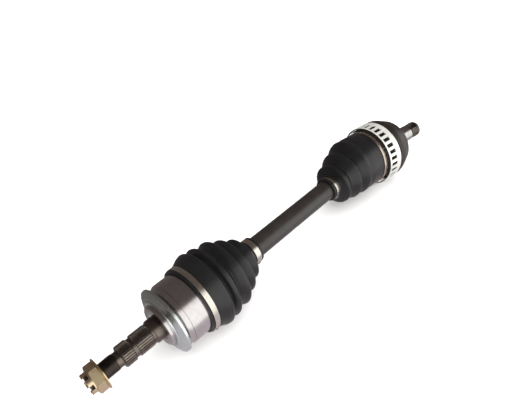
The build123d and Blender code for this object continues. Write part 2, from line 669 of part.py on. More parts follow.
# ================================================================ tone ring
tone_pitch = 2 * pi * tone_ring_r / tone_windows
with BuildPart() as tone_ring:
    with BuildSketch(housing_plane):
        with BuildLine():
            Polyline(
                (ring_front_h, tone_ring_r - tone_ring_wall), (ring_front_h, tone_ring_r - 0.5),
                (ring_front_h + 0.5, tone_ring_r), (ring_seat_h - 0.8, tone_ring_r),
                (ring_seat_h, tone_band_r), (ring_rear_h - 0.4, tone_band_r),
                (ring_rear_h, tone_band_r - 0.4), (ring_rear_h, ring_seat_r + fit_gap),
                (ring_seat_h, ring_seat_r + fit_gap),
                (ring_seat_h - 0.6, tone_ring_r - tone_ring_wall), close=True)
        make_face()
    revolve(axis=housing_axis)
    with BuildSketch(housing_cross_plane(tone_window_start_h)):
        with PolarLocations(tone_ring_r, tone_windows):
            Rectangle(4 * tone_ring_wall, tone_window_share * tone_pitch)
    extrude(amount=tone_window_end_h - tone_window_start_h, mode=Mode.SUBTRACT)
save(tone_ring.part, "tone_ring")
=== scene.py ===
"""Looks of a front wheel drive axle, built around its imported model.

Sizes are in millimetres, as on a workshop drawing, until a finished mesh is
scaled to metres. Stations run along an axis: from the bearing shoulder on the
wheel side, and from the joint centre on the gearbox side.
"""

import json
import logging
import math
from dataclasses import dataclass
from enum import Enum

import bmesh
import bpy
from mathutils import Matrix, Vector


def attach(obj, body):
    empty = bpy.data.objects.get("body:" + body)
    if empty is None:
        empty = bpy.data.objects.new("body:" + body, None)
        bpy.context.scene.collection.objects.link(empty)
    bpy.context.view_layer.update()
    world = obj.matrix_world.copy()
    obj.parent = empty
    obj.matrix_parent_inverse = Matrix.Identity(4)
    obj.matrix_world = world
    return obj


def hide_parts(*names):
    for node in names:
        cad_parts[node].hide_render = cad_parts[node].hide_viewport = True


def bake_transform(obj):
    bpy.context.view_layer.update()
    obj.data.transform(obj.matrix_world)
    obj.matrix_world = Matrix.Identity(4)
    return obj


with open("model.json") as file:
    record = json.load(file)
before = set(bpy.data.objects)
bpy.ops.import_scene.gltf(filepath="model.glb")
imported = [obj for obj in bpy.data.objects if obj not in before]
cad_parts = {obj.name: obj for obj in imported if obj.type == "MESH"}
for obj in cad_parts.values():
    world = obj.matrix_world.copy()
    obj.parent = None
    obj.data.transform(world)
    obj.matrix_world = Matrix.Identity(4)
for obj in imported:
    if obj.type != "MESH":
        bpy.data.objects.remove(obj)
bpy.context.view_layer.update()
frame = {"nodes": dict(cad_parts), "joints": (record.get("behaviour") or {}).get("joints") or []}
LOG = logging.getLogger("axle")
MM = 0.001
ROUND_STEPS = 4
FULL_TURN = 2.0 * math.pi
TIP_SLACK = 0.1  # mm below a tooth tip that still counts as tip
Outline = list[tuple[float, float, float]]


def joint(name: str) -> dict:
    """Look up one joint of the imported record.

    Args:
        name: The joint's name in the record.

    Returns:
        The joint's own entry, with its axis and, for a hinge, its place.
    """
    return next(entry for entry in frame["joints"] if entry["name"] == name)


WHEEL_CENTRE = Vector(joint("wheel_bend")["pos_m"]) / MM
GEARBOX_CENTRE = Vector(joint("gearbox_bend")["pos_m"]) / MM
HOUSING_WAY = Vector(joint("plunge")["axis"])
REST_BEND = math.atan2(HOUSING_WAY.y, HOUSING_WAY.x)


class Line(Enum):
    """The two straight lines that the round pieces are turned about."""

    BAR = Matrix.Identity(4)
    HOUSING = Matrix.Translation(GEARBOX_CENTRE) @ Matrix.Rotation(REST_BEND, 4, "Z")


class Body(Enum):
    """The moving bodies that the pieces ride on."""

    SHAFT = "shaft"
    WHEEL = "wheel_bell"
    CARRIER = "carrier_1"
    GEARBOX = "gearbox_end"


# ----------------------------------------------------------------- node groups
def new_group(name: str, inputs: dict[str, float]) -> tuple[bpy.types.NodeTree, bpy.types.Node,
                                                            bpy.types.Node]:
    """Start a shader node group with number inputs and one value output.

    Args:
        name: The group's name.
        inputs: Each input socket's name and default.

    Returns:
        The group, its input node and its output node.
    """
    group = bpy.data.node_groups.new(name, "ShaderNodeTree")
    for label, default in inputs.items():
        socket = group.interface.new_socket(name=label, in_out="INPUT", socket_type="NodeSocketFloat")
        socket.default_value = default
    group.interface.new_socket(name="Vector", in_out="INPUT", socket_type="NodeSocketVector")
    group.interface.new_socket(name="Value", in_out="OUTPUT", socket_type="NodeSocketFloat")
    return group, group.nodes.new("NodeGroupInput"), group.nodes.new("NodeGroupOutput")


def grain_group() -> bpy.types.NodeTree:
    """Cloudy grain: a broad noise with a finer one laid over it.

    Returns:
        The node group.
    """
    group, inside, outside = new_group("cloudy_grain", {"Scale": 40.0, "Fine": 6.0, "Fine Share": 0.4})
    nodes, links = group.nodes, group.links
    broad = nodes.new("ShaderNodeTexNoise")
    broad.inputs["Detail"].default_value = 4.0
    fine = nodes.new("ShaderNodeTexNoise")
    fine.inputs["Detail"].default_value = 2.0
    times = nodes.new("ShaderNodeMath")
    times.operation = "MULTIPLY"
    mix = nodes.new("ShaderNodeMix")
    mix.data_type = "FLOAT"
    for texture in (broad, fine):
        links.new(inside.outputs["Vector"], texture.inputs["Vector"])
    links.new(inside.outputs["Scale"], broad.inputs["Scale"])
    links.new(inside.outputs["Scale"], times.inputs[0])
    links.new(inside.outputs["Fine"], times.inputs[1])
    links.new(times.outputs[0], fine.inputs["Scale"])
    links.new(inside.outputs["Fine Share"], mix.inputs["Factor"])
    links.new(broad.outputs["Fac"], mix.inputs["A"])
    links.new(fine.outputs["Fac"], mix.inputs["B"])
    links.new(mix.outputs["Result"], outside.inputs["Value"])
    return group


def turning_group() -> bpy.types.NodeTree:
    """Fine rings left by turning and grinding, square to the piece's axis.

    Returns:
        The node group.
    """
    group, inside, outside = new_group("turning_rings", {"Rings": 900.0, "Wander": 6.0})
    nodes, links = group.nodes, group.links
    stretch = nodes.new("ShaderNodeCombineXYZ")
    split = nodes.new("ShaderNodeSeparateXYZ")
    noise = nodes.new("ShaderNodeTexNoise")
    noise.inputs["Scale"].default_value = 1.0
    noise.inputs["Detail"].default_value = 3.0
    links.new(inside.outputs["Vector"], split.inputs[0])
    for label, amount in (("X", "Rings"), ("Y", "Wander"), ("Z", "Wander")):
        times = nodes.new("ShaderNodeMath")
        times.operation = "MULTIPLY"
        links.new(split.outputs[label], times.inputs[0])
        links.new(inside.outputs[amount], times.inputs[1])
        links.new(times.outputs[0], stretch.inputs[label])
    links.new(stretch.outputs[0], noise.inputs["Vector"])
    links.new(noise.outputs["Fac"], outside.inputs["Value"])
    return group


# ----------------------------------------------------------------- finishes
Colour = tuple[float, float, float]


@dataclass(frozen=True)
class Finish:
    """One surface finish: two colours that drift into each other, gloss and relief."""

    name: str
    colour: Colour
    drift: Colour
    metallic: float
    roughness: float
    roughness_spread: float = 0.08
    grain: float = 40.0
    relief: float = 0.0002
    ring_relief: float = 0.0
    rings: float = 900.0
    coat: float = 0.0
    coat_roughness: float = 0.2
    specular: float = 0.5
    third: Colour | None = None
    tilt: float = 0.0

    def build(self) -> bpy.types.Material:
        """Make the material from the two shared groups.

        Returns:
            The material.
        """
        material = bpy.data.materials.new(self.name)
        material.use_nodes = True
        nodes, links = material.node_tree.nodes, material.node_tree.links
        shader = nodes["Principled BSDF"]
        shader.inputs["Metallic"].default_value = self.metallic
        shader.inputs["Coat Weight"].default_value = self.coat
        shader.inputs["Coat Roughness"].default_value = self.coat_roughness
        shader.inputs["Specular IOR Level"].default_value = self.specular
        place = nodes.new("ShaderNodeTexCoord")
        turn = nodes.new("ShaderNodeMapping")
        turn.inputs["Rotation"].default_value = (0.0, 0.0, self.tilt)
        links.new(place.outputs["Object"], turn.inputs["Vector"])
        grain = self._group(nodes, GROUPS["grain"], {"Scale": self.grain})
        links.new(turn.outputs[0], grain.inputs["Vector"])
        ramp = nodes.new("ShaderNodeValToRGB")
        ramp.color_ramp.elements[0].position = 0.35
        ramp.color_ramp.elements[0].color = (*self.colour, 1.0)
        ramp.color_ramp.elements[1].position = 0.66
        ramp.color_ramp.elements[1].color = (*self.drift, 1.0)
        if self.third is not None:
            middle = ramp.color_ramp.elements.new(0.5)
            middle.color = (*self.third, 1.0)
        links.new(grain.outputs[0], ramp.inputs[0])
        links.new(ramp.outputs[0], shader.inputs["Base Color"])
        gloss = nodes.new("ShaderNodeMapRange")
        gloss.inputs["To Min"].default_value = self.roughness - self.roughness_spread
        gloss.inputs["To Max"].default_value = self.roughness + self.roughness_spread
        links.new(grain.outputs[0], gloss.inputs["Value"])
        links.new(gloss.outputs[0], shader.inputs["Roughness"])
        self._relief(nodes, links, turn, grain, shader)
        return material

    def _group(self, nodes: bpy.types.Nodes, group: bpy.types.NodeTree,
               values: dict[str, float]) -> bpy.types.Node:
        """Place a shared group in this material with its own values.

        Args:
            nodes: The material's nodes.
            group: The shared group.
            values: The inputs to set.

        Returns:
            The group node.
        """
        node = nodes.new("ShaderNodeGroup")
        node.node_tree = group
        for label, value in values.items():
            node.inputs[label].default_value = value
        return node

    def _relief(self, nodes: bpy.types.Nodes, links: bpy.types.NodeLinks, turn: bpy.types.Node,
                grain: bpy.types.Node, shader: bpy.types.Node) -> None:
        """Lay the grain, and the turning rings where there are any, on the surface as relief.

        Args:
            nodes: The material's nodes.
            links: The material's links.
            turn: The node that gives the pattern's place.
            grain: The grain group.
            shader: The surface shader.
        """
        bump = nodes.new("ShaderNodeBump")
        bump.inputs["Distance"].default_value = self.relief
        bump.inputs["Strength"].default_value = 0.6
        links.new(grain.outputs[0], bump.inputs["Height"])
        if self.ring_relief > 0.0:
            rings = self._group(nodes, GROUPS["turning"], {"Rings": self.rings})
            ring_bump = nodes.new("ShaderNodeBump")
            ring_bump.inputs["Distance"].default_value = self.ring_relief
            ring_bump.inputs["Strength"].default_value = 0.5
            links.new(turn.outputs[0], rings.inputs["Vector"])
            links.new(rings.outputs[0], ring_bump.inputs["Height"])
            links.new(bump.outputs[0], ring_bump.inputs["Normal"])
            bump = ring_bump
        links.new(bump.outputs[0], shader.inputs["Normal"])


FINISHES = {
    "bar": Finish("satin_bar_paint", (0.010, 0.008, 0.007), (0.017, 0.014, 0.012), 0.0, 0.40,
                  grain=55.0, relief=0.00012, coat=0.25, coat_roughness=0.35),
    "stub": Finish("oiled_dark_steel", (0.12, 0.102, 0.088), (0.20, 0.172, 0.15), 1.0, 0.34,
                   grain=90.0, relief=0.0001, ring_relief=0.00003, rings=1400.0),
    "spline": Finish("oiled_spline_steel", (0.075, 0.064, 0.055), (0.13, 0.113, 0.098), 1.0, 0.32,
                     grain=120.0, relief=0.00008),
    # Painted highlight: brighter steel on the spline tooth tips stands in for the light caught along the
    # crests.
    "tooth": Finish("tooth_tip_painted_highlight", (0.19, 0.165, 0.14), (0.30, 0.26, 0.225), 1.0, 0.28,
                    grain=120.0, relief=0.00006),
    "bell": Finish("ground_bell_steel", (0.50, 0.475, 0.48), (0.58, 0.555, 0.555), 1.0, 0.21,
                   roughness_spread=0.05, grain=30.0, relief=0.00003, ring_relief=0.00001, rings=2400.0),
    "shield": Finish("bluish_zinc", (0.58, 0.645, 0.645), (0.72, 0.785, 0.775), 1.0, 0.27,
                     grain=45.0, relief=0.00008, ring_relief=0.00001, rings=1600.0),
    "nut": Finish("yellow_zinc", (0.62, 0.43, 0.24), (0.70, 0.50, 0.43), 1.0, 0.30,
                  grain=38.0, relief=0.00006, third=(0.71, 0.60, 0.38)),
    "rubber": Finish("moulded_black_rubber", (0.0045, 0.0045, 0.005), (0.0065, 0.0065, 0.007), 0.0,
                     0.35, roughness_spread=0.06, grain=70.0, relief=0.00015, specular=0.45),
    "clamp": Finish("rolled_stainless", (0.56, 0.52, 0.46), (0.72, 0.69, 0.63), 1.0, 0.26,
                    grain=60.0, relief=0.00005, ring_relief=0.00001, rings=1800.0),
    "housing": Finish("dark_phosphate", (0.012, 0.0095, 0.008), (0.022, 0.018, 0.015), 0.35, 0.40,
                      grain=65.0, relief=0.00015, ring_relief=0.00002, rings=900.0, tilt=-REST_BEND),
    "seat": Finish("ground_seal_seat", (0.42, 0.41, 0.40), (0.55, 0.54, 0.53), 1.0, 0.20,
                   grain=40.0, relief=0.00003, ring_relief=0.00001, rings=2400.0, tilt=-REST_BEND),
    "ring": Finish("bright_zinc", (0.72, 0.72, 0.68), (0.82, 0.82, 0.78), 0.6, 0.38,
                   grain=50.0, relief=0.00006, tilt=-REST_BEND),
    "bearing": Finish("bearing_steel", (0.55, 0.55, 0.56), (0.66, 0.66, 0.67), 1.0, 0.12,
                      roughness_spread=0.04, grain=30.0, relief=0.00002),
    "copper": Finish("coppery_band_steel", (0.48, 0.40, 0.33), (0.64, 0.58, 0.51), 1.0, 0.27,
                     grain=60.0, relief=0.00005, tilt=-REST_BEND),
    "floor": Finish("pale_studio_floor", (0.86, 0.86, 0.86), (0.88, 0.88, 0.88), 0.0, 0.7,
                    grain=3.0, relief=0.00001, specular=0.1),
}
GROUPS: dict[str, bpy.types.NodeTree] = {}
MADE: dict[str, bpy.types.Material] = {}


def material(key: str) -> bpy.types.Material:
    """The material of a finish, made the first time it is asked for.

    Args:
        key: The finish's key.

    Returns:
        The material.
    """
    if key not in MADE:
        MADE[key] = FINISHES[key].build()
    return MADE[key]


# ----------------------------------------------------------------- mesh tools
def rounded(outline: Outline) -> list[tuple[float, float]]:
    """Round the corners of an outline.

    Args:
        outline: Station, radius and rounding length of each corner.

    Returns:
        Station and radius of each point of the rounded outline.
    """
    points = []
    for index, (x, r, length) in enumerate(outline):
        corner = Vector((x, r))
        if length <= 0.0 or index in (0, len(outline) - 1):
            points.append((x, r))
            continue
        before = Vector(outline[index - 1][:2]) - corner
        after = Vector(outline[index + 1][:2]) - corner
        start = corner + before.normalized() * min(length, 0.48 * before.length)
        end = corner + after.normalized() * min(length, 0.48 * after.length)
        for step in range(ROUND_STEPS + 1):
            t = step / ROUND_STEPS
            point = start * (1 - t) ** 2 + corner * (2 * t * (1 - t)) + end * t ** 2
            points.append((point.x, point.y))
    return points


def lathe(bm: bmesh.types.BMesh, outline: Outline, steps: int, closed: bool = True,
          start: float = 0.0, sweep: float = FULL_TURN) -> None:
    """Turn an outline about the X axis.

    Args:
        bm: The mesh to add to.
        outline: Station, radius and rounding length of each corner.
        steps: Steps round the sweep.
        closed: True when the outline joins up, false when it starts and ends on the axis.
        start: Angle of the first copy in degrees, from +Y towards +Z.
        sweep: Angle swept.
    """
    turn = Matrix.Rotation(math.radians(start), 3, "X")
    profile = [bm.verts.new(turn @ Vector((x, r, 0.0))) for x, r in rounded(outline)]
    edges = [bm.edges.new(pair) for pair in zip(profile, profile[1:])]
    if closed:
        edges.append(bm.edges.new((profile[-1], profile[0])))
    whole = sweep > FULL_TURN - 0.01
    ends = [] if whole else [bm.faces.new(profile)]
    bmesh.ops.spin(bm, geom=profile + edges + ends, cent=(0, 0, 0), axis=(1, 0, 0), dvec=(0, 0, 0),
                   angle=sweep, steps=steps, use_merge=whole, use_normal_flip=False, use_duplicate=False)


def finished(bm: bmesh.types.BMesh, name: str, key: str, line: Line = Line.BAR,
             sharp: float = 38.0) -> bpy.types.Object:
    """Close and turn a mesh outwards, move it to its line and make an object of it.

    Args:
        bm: The mesh, which is used up.
        name: The piece's name.
        key: The finish.
        line: The line that the piece was turned about.
        sharp: Edges that turn by more degrees than this stay sharp.

    Returns:
        The new object.
    """
    bmesh.ops.remove_doubles(bm, verts=bm.verts, dist=0.0005)
    bmesh.ops.transform(bm, matrix=line.value, verts=bm.verts)
    bmesh.ops.scale(bm, vec=(MM, MM, MM), verts=bm.verts)
    bmesh.ops.recalc_face_normals(bm, faces=bm.faces)
    return smooth_object(bm, name, key, sharp)


def smooth_object(bm: bmesh.types.BMesh, name: str, key: str, sharp: float) -> bpy.types.Object:
    """Shade a finished mesh smooth between its sharp edges and make an object of it.

    Args:
        bm: The mesh, which is used up.
        name: The piece's name.
        key: The finish.
        sharp: Edges that turn by more degrees than this stay sharp.

    Returns:
        The new object.
    """
    for face in bm.faces:
        face.smooth = True
    for edge in bm.edges:
        edge.smooth = len(edge.link_faces) == 2 and edge.calc_face_angle(0.0) < math.radians(sharp)
    mesh = bpy.data.meshes.new(name)
    bm.to_mesh(mesh)
    bm.free()
    mesh.materials.append(material(key))
    piece = bpy.data.objects.new(name, mesh)
    bpy.context.scene.collection.objects.link(piece)
    return piece


def seat(piece: bpy.types.Object, body: Body, slot: str, *nodes: str) -> None:
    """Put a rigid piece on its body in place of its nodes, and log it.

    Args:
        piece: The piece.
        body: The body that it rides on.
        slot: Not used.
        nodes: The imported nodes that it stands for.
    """
    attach(piece, body.value)
    if nodes:
        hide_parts(*nodes)
    LOG.info("%s rides on %s", piece.name, body.value)


def rounding(piece: bpy.types.Object, width: float, segments: int = 2) -> None:
    """Round a piece's sharp edges with a live bevel.

    Args:
        piece: The piece.
        width: Width of the rounding.
        segments: Steps across it.
    """
    bevel = piece.modifiers.new("rounding", "BEVEL")
    bevel.width = width * MM
    bevel.segments = segments
    bevel.limit_method = "ANGLE"
    bevel.angle_limit = math.radians(35.0)
    bevel.harden_normals = True


# ----------------------------------------------------------------- kinds of piece
@dataclass
class Teeth:
    """A band of spline teeth cut into a turned piece."""

    start: float
    end: float
    root: float
    tip: float
    count: int

    def cut(self, bm: bmesh.types.BMesh) -> None:
        """Sink the gaps between the teeth into a lathe that has six steps to a tooth, and give the tip faces
        the painted highlight.

        Args:
            bm: The turned mesh.
        """
        shares = ((0.0, 0.0), (0.13, 0.0), (0.32, 1.0), (0.5, 1.03), (0.68, 1.0), (0.87, 0.0))
        steps = self.count * len(shares)
        for vert in bm.verts:
            if not self.start - 0.01 <= vert.co.x <= self.end + 0.01:
                continue
            radius = math.hypot(vert.co.y, vert.co.z)
            if radius < self.root - 0.01:
                continue
            step = round(math.atan2(vert.co.z, vert.co.y) * steps / FULL_TURN) % steps
            share, height = shares[step % len(shares)]
            angle = FULL_TURN * (step // len(shares) + share) / self.count
            limited = min(radius, self.root + (self.tip - self.root) * height)
            vert.co.y = limited * math.cos(angle)
            vert.co.z = limited * math.sin(angle)
        # Faces along the tooth tips take the second slot: a painted highlight on the crests.
        for face in bm.faces:
            spots = [vert.co for vert in face.verts]
            if all(self.start < co.x < self.end and math.hypot(co.y, co.z) > self.tip - TIP_SLACK
                   for co in spots):
                face.material_index = 1


@dataclass
class Turned:
    """A round piece turned about one of the axle's lines."""

    name: str
    outline: Outline
    finish: str
    slot: str
    body: Body
    nodes: tuple[str, ...]
    line: Line = Line.BAR
    steps: int = 180
    teeth: tuple[Teeth, ...] = ()

    def build(self) -> bpy.types.Object:
        """Turn the piece, cut its teeth and seat it.

        Returns:
            The piece.
        """
        bm = bmesh.new()
        lathe(bm, self.outline, self.steps)
        for band in self.teeth:
            band.cut(bm)
        piece = finished(bm, self.name, self.finish, self.line)
        # The second slot is the painted highlight on the tooth tips.
        if self.teeth:
            piece.data.materials.append(material("tooth"))
        seat(piece, self.body, self.slot, *self.nodes)
        return piece


@dataclass
class Thread:
    """A screw thread with run-outs at both ends."""

    start: float
    end: float
    crest: float
    root: float
    pitch: float

    def build(self) -> bpy.types.Object:
        """Wind the thread along the stub.

        Returns:
            The piece.
        """
        bm = bmesh.new()
        turn_steps = 60
        turns = (self.end - self.start) / self.pitch - 1.0
        section = ((0.0, self.root), (0.42, self.crest), (0.56, self.crest), (1.0, self.root))
        profile = [bm.verts.new((self.start + share * self.pitch, r, 0.0)) for share, r in section]
        edges = [bm.edges.new(pair) for pair in zip(profile, profile[1:])]
        bmesh.ops.spin(bm, geom=profile + edges, cent=(0, 0, 0), axis=(1, 0, 0),
                       dvec=(self.pitch / turn_steps, 0, 0), angle=FULL_TURN * turns,
                       steps=int(turns * turn_steps), use_merge=False, use_normal_flip=False,
                       use_duplicate=False)
        for vert in bm.verts:
            room = min(vert.co.x - self.start, self.end - vert.co.x)
            radius = math.hypot(vert.co.y, vert.co.z)
            limited = min(radius, self.root - 0.15 + max(room, 0.0) * 0.7)
            vert.co.y *= limited / radius
            vert.co.z *= limited / radius
        piece = finished(bm, "stub_thread", "stub", sharp=50.0)
        seat(piece, Body.WHEEL, "stub_steel", "bell_and_stub")
        return piece


@dataclass
class HubNut:
    """The flanged castle nut on the stub's thread."""

    rounding: float = 0.35

    def build(self) -> bpy.types.Object:
        """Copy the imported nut, join its facets into clean faces and round its edges.

        Returns:
            The piece.
        """
        bm = bmesh.new()
        bm.from_mesh(frame["nodes"]["axle_nut"].data)
        bmesh.ops.remove_doubles(bm, verts=bm.verts, dist=1e-6)
        bmesh.ops.dissolve_limit(bm, angle_limit=math.radians(0.6), verts=bm.verts, edges=bm.edges)
        bmesh.ops.recalc_face_normals(bm, faces=bm.faces)
        piece = smooth_object(bm, "hub_nut", "nut", 28.0)
        rounding(piece, self.rounding)
        seat(piece, Body.WHEEL, "yellow_zinc", "axle_nut")
        return piece


@dataclass
class BandClamp:
    """A stainless band round a boot, with its end lapped and locked."""

    name: str
    node: str
    start: float
    width: float
    inner: float
    line: Line
    body: Body
    finish: str = "clamp"
    lap_start: float = 200.0
    lap: float = 46.0

    def build(self) -> bpy.types.Object:
        """Roll the band, lap its end, press its lock and seat it.

        Returns:
            The piece.
        """
        bm = bmesh.new()
        end, outer = self.start + self.width, self.inner + 1.0
        lathe(bm, [(self.start, self.inner, 0.0), (self.start, outer, 0.3), (end, outer, 0.3),
                   (end, self.inner, 0.0)], 160)
        inset = 0.07 * self.width
        lathe(bm, [(self.start + inset, outer - 0.1, 0.0), (self.start + inset, outer + 0.8, 0.3),
                   (end - inset, outer + 0.8, 0.3), (end - inset, outer - 0.1, 0.0)], 24,
              start=self.lap_start, sweep=math.radians(self.lap))
        for place in (0.12, 0.84):
            lathe(bm, [(self.start + 0.22 * self.width, outer + 0.6, 0.0),
                       (self.start + 0.30 * self.width, outer + 1.5, 0.4),
                       (end - 0.30 * self.width, outer + 1.5, 0.4),
                       (end - 0.22 * self.width, outer + 0.6, 0.0)], 6,
                  start=self.lap_start + place * self.lap, sweep=math.radians(0.08 * self.lap))
        piece = finished(bm, self.name, self.finish, self.line)
        seat(piece, self.body, "clamp_steel", self.node)
        return piece


@dataclass
class Boot:
    """A moulded rubber boot: clamp seats and round folds with an even wall."""

    name: str
    outline: list[tuple[float, float]]
    inside_start: float
    inside_end: float
    fold_round: float = 1.5
    wall: float = 2.2

    def mesh(self) -> bmesh.types.BMesh:
        """Turn the boot's skin about the X axis.

        Returns:
            The new mesh.
        """
        bm = bmesh.new()
        outside = [(x, r, self.fold_round) for x, r in self.outline]
        inside = [(x, r - self.wall, self.fold_round) for x, r in reversed(self.outline)]
        first, last = self.outline[0], self.outline[-1]
        closed = [(first[0], self.inside_start, 0.0), *outside, (last[0], self.inside_end, 0.0),
                  *inside[1:-1]]
        lathe(bm, closed, 144)
        return bm


@dataclass
class WheelBoot(Boot):
    """The five-fold boot over the ball joint."""

    def build(self) -> bpy.types.Object:
        """Turn the boot, bake its place into its mesh and hide the imported boot.

        Returns:
            The piece.
        """
        piece = finished(self.mesh(), self.name, "rubber", sharp=70.0)
        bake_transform(piece)
        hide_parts("wheel_boot")
        LOG.info("%s bends with the ball joint", self.name)
        return piece


@dataclass
class GearboxBoot(Boot):
    """One half of the boot over the plunging joint, which lies bent at rest."""

    bend_start: float = -95.0
    bend_end: float = -40.0

    def build(self, first: Body, second: Body, start: Vector, end: Vector) -> bpy.types.Object:
        """Turn this half, bend it as it lies and hide the imported boot.

        Args:
            first: Not used.
            second: Not used.
            start: Not used.
            end: Not used.

        Returns:
            The piece.
        """
        bm = self.mesh()
        for vert in bm.verts:
            share = (vert.co.x - self.bend_start) / (self.bend_end - self.bend_start)
            share = min(1.0, max(0.0, share))
            turn = Matrix.Rotation(REST_BEND * share ** 2 * (3.0 - 2.0 * share), 3, "Z")
            vert.co = GEARBOX_CENTRE + turn @ vert.co
        piece = finished(bm, self.name, "rubber", sharp=70.0)
        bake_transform(piece)
        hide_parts("gearbox_boot")
        LOG.info("%s follows %s and %s", self.name, first.value, second.value)
        return piece


@dataclass
class ToneRing:
    """The windowed speed sensor ring pressed on the plunging joint's housing."""

    windows: int = 29
    share: float = 0.56
    front: float = -6.5
    window_start: float = -3.6
    window_end: float = 9.6
    band_start: float = 12.0
    rear: float = 19.7

    def build(self) -> bpy.types.Object:
        """Turn the ring's skin, open its windows, thicken it and round its edges.

        Returns:
            The piece.
        """
        bm = bmesh.new()
        half = self.share / 2.0
        shares = (0.0, 0.5 - half, 0.5 - half / 2, 0.5, 0.5 + half / 2, 0.5 + half)
        steps = self.windows * len(shares)
        stations = [(self.front, 49.9), (self.front + 0.5, 50.4), (self.window_start, 50.4),
                    (self.window_end, 50.4), (self.band_start - 0.7, 50.4), (self.band_start, 49.9),
                    (self.band_start + 0.7, 50.05), (self.rear - 0.5, 50.05), (self.rear, 49.6)]
        profile = [bm.verts.new((x, r, 0.0)) for x, r in stations]
        edges = [bm.edges.new(pair) for pair in zip(profile, profile[1:])]
        bmesh.ops.spin(bm, geom=profile + edges, cent=(0, 0, 0), axis=(1, 0, 0), dvec=(0, 0, 0),
                       angle=FULL_TURN, steps=steps, use_merge=True, use_normal_flip=False,
                       use_duplicate=False)
        opened = []
        for face in bm.faces:
            middle = face.calc_center_median()
            step = int(math.atan2(middle.z, middle.y) * steps / FULL_TURN % steps) % len(shares)
            if self.window_start < middle.x < self.window_end and 1 <= step <= 4:
                opened.append(face)
        for vert in bm.verts:
            step = round(math.atan2(vert.co.z, vert.co.y) * steps / FULL_TURN) % steps
            radius = math.hypot(vert.co.y, vert.co.z)
            angle = FULL_TURN * (step // len(shares) + shares[step % len(shares)]) / self.windows
            vert.co.y, vert.co.z = radius * math.cos(angle), radius * math.sin(angle)
        bmesh.ops.delete(bm, geom=opened, context="FACES")
        piece = finished(bm, "sensor_ring", "ring", Line.HOUSING)
        sheet = piece.modifiers.new("thickness", "SOLIDIFY")
        sheet.thickness = 1.9 * MM
        sheet.offset = -1.0
        rounding(piece, 0.3)
        seat(piece, Body.GEARBOX, "zinc", "tone_ring")
        return piece


# ----------------------------------------------------------------- the axle
@dataclass
class WheelEnd:
    """Everything that turns with the wheel hub: stub, nut, shield and bell."""

    def build(self) -> None:
        """Build the wheel end's pieces."""
        stub = Turned("wheel_stub", [
            (-98.0, 0.0, 0.0), (-98.0, 9.6, 0.5), (-97.4, 10.1, 0.0), (-60.0, 10.1, 0.3), (-59.2, 10.0, 0.3),
            (-55.5, 10.1, 0.6), (-54.9, 12.95, 0.0), (-54.0, 14.3, 0.0), (-41.2, 14.3, 0.0),
            (-40.0, 12.95, 0.0), (-39.5, 12.6, 0.5), (-35.8, 12.6, 0.5), (-35.3, 12.95, 0.0),
            (-34.5, 14.3, 0.0), (-15.6, 14.3, 0.0), (-13.2, 13.4, 0.0), (-12.4, 13.9, 0.2),
            (-11.4, 13.9, 0.2), (-10.5, 15.1, 0.2), (-10.0, 15.6, 0.3), (-0.8, 15.6, 0.2),
            (-0.6, 15.2, 0.2), (0.6, 15.2, 0.0),
            (0.6, 0.0, 0.0)], "stub", "stub_steel", Body.WHEEL, ("bell_and_stub",),
            teeth=(Teeth(-54.9, -40.0, 12.95, 14.3, 30), Teeth(-35.3, -15.6, 12.95, 14.3, 30)))
        stub.build()
        Thread(-98.0, -60.0, 11.0, 10.1, 1.5).build()
        HubNut().build()
        Turned("bell", [
            (0.9, 14.6, 0.0), (0.9, 16.6, 0.3), (0.0, 17.4, 0.5), (0.0, 27.25, 0.7), (3.5, 27.25, 0.3),
            (3.7, 28.6, 0.2), (8.0, 29.0, 0.5), (9.5, 33.5, 1.2), (13.0, 36.4, 1.6), (16.5, 39.6, 1.8),
            (20.0, 41.2, 1.5), (23.3, 42.0, 0.0), (23.5, 43.0, 0.2), (57.6, 43.0, 0.4),
            (58.2, 42.4, 0.4), (59.0, 42.2, 0.3),
            (59.0, 39.8, 0.3), (57.0, 38.6, 0.5), (28.0, 38.6, 5.0), (17.0, 30.0, 5.0), (12.5, 14.0, 0.0)],
            "bell", "ground_steel", Body.WHEEL, ("bell_and_stub",)).build()
        Turned("dust_shield", [
            (4.1, 29.05, 0.0), (4.1, 33.0, 0.4), (5.6, 34.4, 0.3), (5.9, 37.0, 0.6), (8.7, 43.8, 0.6),
            (9.7, 45.6, 0.5), (11.6, 45.8, 0.3), (12.5, 46.0, 0.3), (12.5, 44.8, 0.3), (10.8, 44.5, 0.6),
            (10.1, 43.4, 0.8), (7.3, 37.3, 0.5), (7.1, 34.9, 0.4), (5.5, 33.9, 0.4), (5.5, 29.05, 0.0)],
            "shield", "zinc", Body.WHEEL, ("dust_shield",)).build()


@dataclass
class Bar:
    """The solid bar between the two joints."""

    def build(self) -> None:
        """Build the bar from hub to hub."""
        toothed = 24 * 6
        left, right = WHEEL_CENTRE.x, GEARBOX_CENTRE.x
        Turned("bar", [
            (left - 14.0, 0.0, 0.0), (left - 14.0, 12.0, 1.0), (left + 11.2, 12.6, 0.3),
            (left + 11.2, 14.2, 0.5), (left + 14.0, 14.2, 0.5), (left + 15.0, 13.0, 0.5),
            (left + 62.0, 13.0, 2.0), (left + 68.0, 15.0, 2.0),
            (right - 68.0, 15.0, 2.0), (right - 62.0, 13.0, 2.0), (right - 15.0, 13.0, 0.5),
            (right - 14.0, 14.2, 0.5), (right - 11.2, 14.2, 0.5), (right - 10.2, 12.6, 0.3),
            (right + 13.0, 12.0, 1.0),
            (right + 13.0, 0.0, 0.0)], "bar", "bar_paint", Body.SHAFT, ("bar_shaft",), steps=toothed).build()


